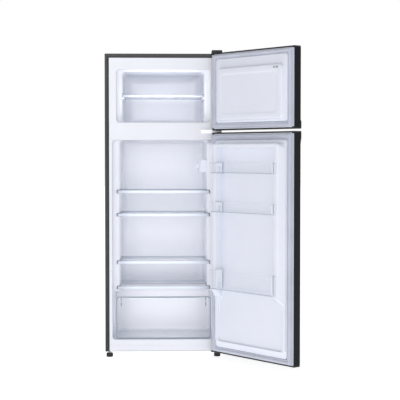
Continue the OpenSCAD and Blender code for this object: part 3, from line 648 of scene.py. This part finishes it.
def make_gasket(name, body, low, high, in_low, in_high):
    """Magnetic seal: thin lap, flat foot, soft bellows and the magnet's bead, mitred corners."""
    lap_half, foot_half, in_half = 273.5, 259, 239.5
    # Share of the way inwards, and height over the door's inner metal
    section = [(0, 2), (0, 3.0), (0.04, 5.5), (0.1, 8), (0.17, 10.2), (0.27, 11.3), (0.42, 11.5),
               (0.55, 11.2), (0.62, 10.1), (0.66, 8.6), (0.7, 7.0), (0.75, 6.4), (0.82, 6.9),
               (0.9, 7.2), (0.96, 6.2), (1.0, 4.4), (1.0, 0)]
    rings = [depth(rounded(half, low, high, 3, 3), d)
             for half, d in ((lap_half, 0), (lap_half, 1.4), (lap_half - 0.6, 2),
                             (foot_half + 2, 2), (foot_half + 1, 1.5))]
    for across, d in section:
        half = foot_half - (foot_half - in_half) * across
        rings.append(depth(rounded(half, low + (in_low - low) * across,
                                   high - (high - in_high) * across, 3, 3), d))
    piece(name, loft(rings), body, GASKET,
          [name.replace("_seal", "_gasket")], toward=(0, 3000, (low + high) / 2), in_door=True)


# ---------------------------------------------------------------- drawers and bins

def tub_rings(half, y0, y1, z0, z1, wall, r, foot, lip=0.0):
    """Rings of an open-topped box with rounded edges: up the outside, over the rim, a short lip."""
    def ring(grow, z):
        middle = (y0 + y1) / 2
        points = outline([(half + grow, middle)], y0 - grow, y1 + grow, r, r)
        return at_z(points, z)
    outside = [ring(-foot * (1 - s), z0 + foot * (1 - c)) for s, c in quarter(4)]
    rim = [ring(0, z1 - 6), ring(lip, z1 - 5), ring(lip, z1 - 1), ring(lip - 1, z1),
           ring(-wall + 0.8, z1), ring(-wall, z1 - 1)]
    return outside + rim + [ring(-wall, z1 - 8)]


def make_drawer():
    """Clear crisper drawer: tub, front bead and grip; the bead is dark as painted shade and the grip
    near-white as painted highlight.
    """
    low, high = node_box("crisper_drawer")
    half, front, grip_half = 224, low[1] + 5, 170
    shell = loft(tub_rings(half, front, high[1], low[2], high[2], 3, 14, 10, 2), cap_first=True)
    piece("crisper_box", shell, "crisper_drawer", CLEAR, ["crisper_drawer"])
    # Bead that stiffens the front's outline; its dark blue-grey is painted shade, for clear plastic
    # seen edge on
    section = ((0, 12, 3), (0.4, 12, 0.6), (3, 10, 0.4), (4, 9, 2.5), (3.5, 9, 3.5), (0, 12, 3))
    bead = loft([at_y(rounded(half - inset, low[2] + inset, high[2] - 3 - inset, r), front + y)
                 for inset, r, y in section])
    piece("crisper_bead", bead, "crisper_drawer", SHADE_BEAD, ["crisper_drawer"])
    # Grip, coloured near-white as painted highlight of the clear plastic
    rings = []
    for x in (-grip_half, 10 - grip_half, grip_half - 10, grip_half):
        lip = front - (3.5 if abs(x) == grip_half else 5)
        rings.append([(x, lip, 251), (x, front + 1, 248), (x, front + 1, 255), (x, lip, 253)])
    piece("crisper_grip", loft(rings, cap_first=True, cap_last=True), "crisper_drawer", HIGHLIGHT_POST,
          ["crisper_drawer"], bevel=0.8, segments=2)


def make_drawer_ribs():
    """Short stiffening ribs inside the front corners of the drawer."""
    front = -231.5
    ribs = []
    for z0, z1 in ((238, 258), (212, 232)):
        rib = box_part(199, 202, front, front + 5.5, z0, z1)
        ribs += [rib, mirror_part(rib)]
    stop = box_part(216, 219.5, front, front + 9.5, 249, 256)
    piece("crisper_ribs", join(*ribs, stop, mirror_part(stop)), "crisper_drawer", PLATE,
          ["crisper_drawer"], bevel=0.6, segments=2)


BIN_BACK, BIN_STEP, BIN_FRONT = DOOR_IN + 10, DOOR_IN + 52, DOOR_IN + 70
BIN_NARROW, BIN_WIDE = 193, 216


def bin_ring(end, grow, z):
    """A bin's outline: narrow between the door's ribs and wide in front of them."""
    narrow, wide = BIN_NARROW - end, BIN_WIDE + grow
    step, front = BIN_STEP - grow, BIN_FRONT + grow
    r, fillet, tip = 9 + grow, 2.5, 3
    right = [(narrow, BIN_BACK - grow)]
    right += arc(narrow + fillet, step - fillet, fillet, 180, 90, 3)
    right += [(wide - 4, step)] + arc(wide - tip, step + tip, tip, -90, 0, 3)
    right += arc(wide - r, front - r, r, 0, 90, 5)
    return at_z(right + [(-x, y) for x, y in reversed(right)], z)


def make_bin(i):
    """Clear door bin, counted from the lowest: shell, posts and foot, with the posts near-white as
    painted highlight and the foot dark as painted shade.
    """
    name = f"door_bin_{i + 1}"
    body = ("door_bin_low", "door_bin_middle", "door_bin_high")[i]
    z0, z1 = (corner[2] for corner in node_box(name))
    rings = [bin_ring(3 * (1 - s) + 0.5, -3 * (1 - s), z0 + 3 * (1 - c)) for s, c in quarter(3)]
    rings += [bin_ring(0.5, 0, z1 - 1), bin_ring(1, -0.6, z1), bin_ring(6, -1.9, z1),
              bin_ring(7, -2.5, z1 - 1), bin_ring(7, -2.5, z1 - 6)]
    piece(f"{name}_shell", loft(rings, cap_first=True), body, CLEAR, [name], in_door=True)
    # Thicker posts in the front corners, a bead along the front's foot, and end cheeks that leave
    # room for the lugs. Posts and cheeks are near-white as painted highlight of thick clear plastic,
    # and the foot strip is dark as painted shade where the clear plastic is seen edge on
    inner, corner_x = BIN_FRONT - 2.6, BIN_WIDE - 10
    post = box_part(corner_x - 4, corner_x, BIN_FRONT - 6, inner, z0 + 3, z1 - 0.5)
    foot = box_part(-corner_x, corner_x, BIN_FRONT - 5.5, inner, z0 + 3, z0 + 5)
    cheek = join(*[
        box_part(BIN_NARROW - 6, BIN_NARROW - 0.6, DOOR_IN + d0, DOOR_IN + d1, z0 + low, z1 - 1)
        for d0, d1, low in ((12, 24, 1), (36, 50, 1), (23.5, 36.5, 30.5))])
    piece(f"{name}_posts", join(post, mirror_part(post), cheek, mirror_part(cheek)), body, HIGHLIGHT_POST,
          [name], in_door=True, bevel=0.8, segments=2)
    piece(f"{name}_foot", foot, body, SHADE_BEAD, [name], in_door=True, bevel=0.6,
          segments=2)


# ---------------------------------------------------------------- small pieces

def make_lamp_lens():
    """Ribbed lens over the lamp in the thermostat housing."""
    (x0, y0, z0), (x1, y1, z1) = node_box("lamp_cover")
    ribs, steps, rib_depth = 9, 6, 1.2
    points = []
    for i in range(ribs * steps + 1):
        y = y0 + (y1 - y0) * i / (ribs * steps)
        points.append((x0 + rib_depth - rib_depth * abs(math.sin(math.pi * i / steps)), y))
    section = points + [(x1, y1), (x1, y0)]
    rings = [[(x, y, z) for x, y in section] for z in (z0, z1)]
    piece("lamp_lens", loft(rings, cap_first=True, cap_last=True), "cabinet", LENS,
          ["lamp_cover"])


def make_foot(side):
    """Levelling foot: scalloped disc, threaded stud."""
    name = "foot_right" if side > 0 else "foot_left"
    low, high = node_box(name)
    cx, cy = (low[0] + high[0]) / 2, (low[1] + high[1]) / 2
    disc_r = (high[0] - low[0]) / 2
    scallops = 12

    def circle(z, n, radius):
        turn = [2 * math.pi * k / n for k in range(n)]
        return [(cx + radius(a) * math.cos(a), cy + radius(a) * math.sin(a), z) for a in turn]

    def disc(z, grow, scallop):
        return circle(z, 72, lambda a: disc_r + grow
                      - scallop * (0.5 - 0.5 * math.cos(scallops * a)))
    body = loft([disc(FLOOR_Z, -2.5, 0), disc(FLOOR_Z + 1.5, -0.6, 0), disc(FLOOR_Z + 3, 0, 0),
                 disc(FLOOR_Z + 5, 0, 1.2), disc(-12, 0, 1.2), disc(-10.5, -0.8, 1.0),
                 disc(-9, -3, 0)], cap_first=True, cap_last=True)
    stud_low, stud_length, crests = -10, 32, 60
    thread = []
    for k in range(crests):
        stud_r = 4.9 - 0.45 * (k % 2)
        z = stud_low + stud_length * k / (crests - 1)
        thread.append(circle(z, 24, lambda a: stud_r))
    stud = loft(thread, cap_first=True, cap_last=True)
    piece(f"{name}_disc", body, name, BLACK_PLASTIC, [name])
    piece(f"{name}_stud", stud, name, STEEL, [name])


def make_label():
    """Plain rating plate on the freezer door's liner, with no lettering."""
    y = DOOR_IN + 22
    white = box_part(-198, -158, y, y + 0.3, 1308, 1322)
    marks = join(box_part(-193, -182, y, y + 0.5, 1311.5, 1318.5),
                 box_part(-176, -164, y, y + 0.5, 1312.5, 1317.5))
    piece("door_plate", white, "freezer_door", WHITE_PLASTIC, in_door=True,
          bevel=0.1, segments=1)
    piece("door_plate_marks", marks, "freezer_door", PLATE, in_door=True,
          bevel=0.1, segments=1)


# ---------------------------------------------------------------- light, floor and camera

def make_stage():
    """White studio and a pale floor."""
    scene = bpy.context.scene
    world = bpy.data.worlds.new("studio")
    world.use_nodes = True
    # The backdrop shows pure white, while the studio's fill light is softer than that
    nodes, links = world.node_tree.nodes, world.node_tree.links
    backdrop = nodes["Background"]
    backdrop.inputs["Color"].default_value = (1, 1, 1, 1)
    fill = nodes.new("ShaderNodeBackground")
    fill.inputs["Color"].default_value = (0.95, 0.97, 1, 1)
    fill.inputs["Strength"].default_value = 0.47
    path = nodes.new("ShaderNodeLightPath")
    mix = nodes.new("ShaderNodeMixShader")
    links.new(path.outputs["Is Camera Ray"], mix.inputs["Fac"])
    links.new(fill.outputs["Background"], mix.inputs[1])
    links.new(backdrop.outputs["Background"], mix.inputs[2])
    links.new(mix.outputs["Shader"], nodes["World Output"].inputs["Surface"])
    scene.world = world
    scene.view_settings.view_transform = "Standard"
    floor_mesh = bpy.data.meshes.new("floor")
    s = 30.0
    floor_mesh.from_pydata([(-s, -s, FLOOR_Z * MM), (s, -s, FLOOR_Z * MM), (s, s, FLOOR_Z * MM),
                            (-s, s, FLOOR_Z * MM)], [], [(0, 1, 2, 3)])
    floor = bpy.data.objects.new("floor", floor_mesh)
    scene.collection.objects.link(floor)
    floor_mesh.materials.append(new_material("floor", (0.95, 0.95, 0.95), 0.9,
                                             Emission_Color=(1, 1, 1, 1), Emission_Strength=0.7))


def add_light(name, location, aim, size, power, spread=180):
    """Soft rectangular light; places and sizes in metres, power in watts."""
    data = bpy.data.lights.new(name, "AREA")
    data.shape = "RECTANGLE"
    data.size, data.size_y = size
    data.energy = power
    data.spread = math.radians(spread)
    obj = bpy.data.objects.new(name, data)
    obj.location = location
    obj.rotation_euler = (Vector(aim) - Vector(location)).to_track_quat("-Z", "Y").to_euler()
    bpy.context.scene.collection.objects.link(obj)


def make_camera():
    """Long lens in front of the cabinet, turned slightly right and down."""
    yaw, pitch = math.radians(1.77), math.radians(2.20)
    data = bpy.data.cameras.new("camera")
    data.sensor_width = 36
    data.lens = 106.7
    camera = bpy.data.objects.new("camera", data)
    camera.location = (0, -5.84, 0.932)
    forward = Vector((math.sin(yaw) * math.cos(pitch), math.cos(yaw) * math.cos(pitch),
                      -math.sin(pitch)))
    camera.rotation_euler = forward.to_track_quat("-Z", "Y").to_euler()
    bpy.context.scene.collection.objects.link(camera)
    bpy.context.scene.camera = camera


make_camera()
make_stage()
add_light("key", (-0.9, -6.4, 1.9), (0, 0, 0.7), (2.2, 2.2), 41)
add_light("fill", (1.5, -6.4, 1.0), (0.1, 0, 0.7), (2.2, 2.2), 23)
add_light("fridge_light", (0, -0.247, 0.64), (0, 1, 0.64), (0.36, 0.72), 0.4, 150)
add_light("freezer_light", (0, -0.247, 1.208), (0, 1, 1.208), (0.34, 0.18), 0.33, 150)
add_light("drawer_light", (0, -0.247, 0.165), (0, 1, 0.165), (0.34, 0.15), 0.2, 150)
dress_cad_nodes()
make_outer_shell()
make_freezer_tub()
make_fridge_tub()
make_freezer_door_liner()
make_fridge_door_liner()
make_dykes()
make_lugs()
make_gasket("freezer_seal", "freezer_door", 1054, 1395, 1077, 1374)
make_gasket("fridge_seal", "fridge_door", 10, 1024, 33, 1000)
make_drawer()
make_drawer_ribs()
for bin_index in range(3):
    make_bin(bin_index)
make_lamp_lens()
make_foot(-1)
make_foot(1)
make_label()
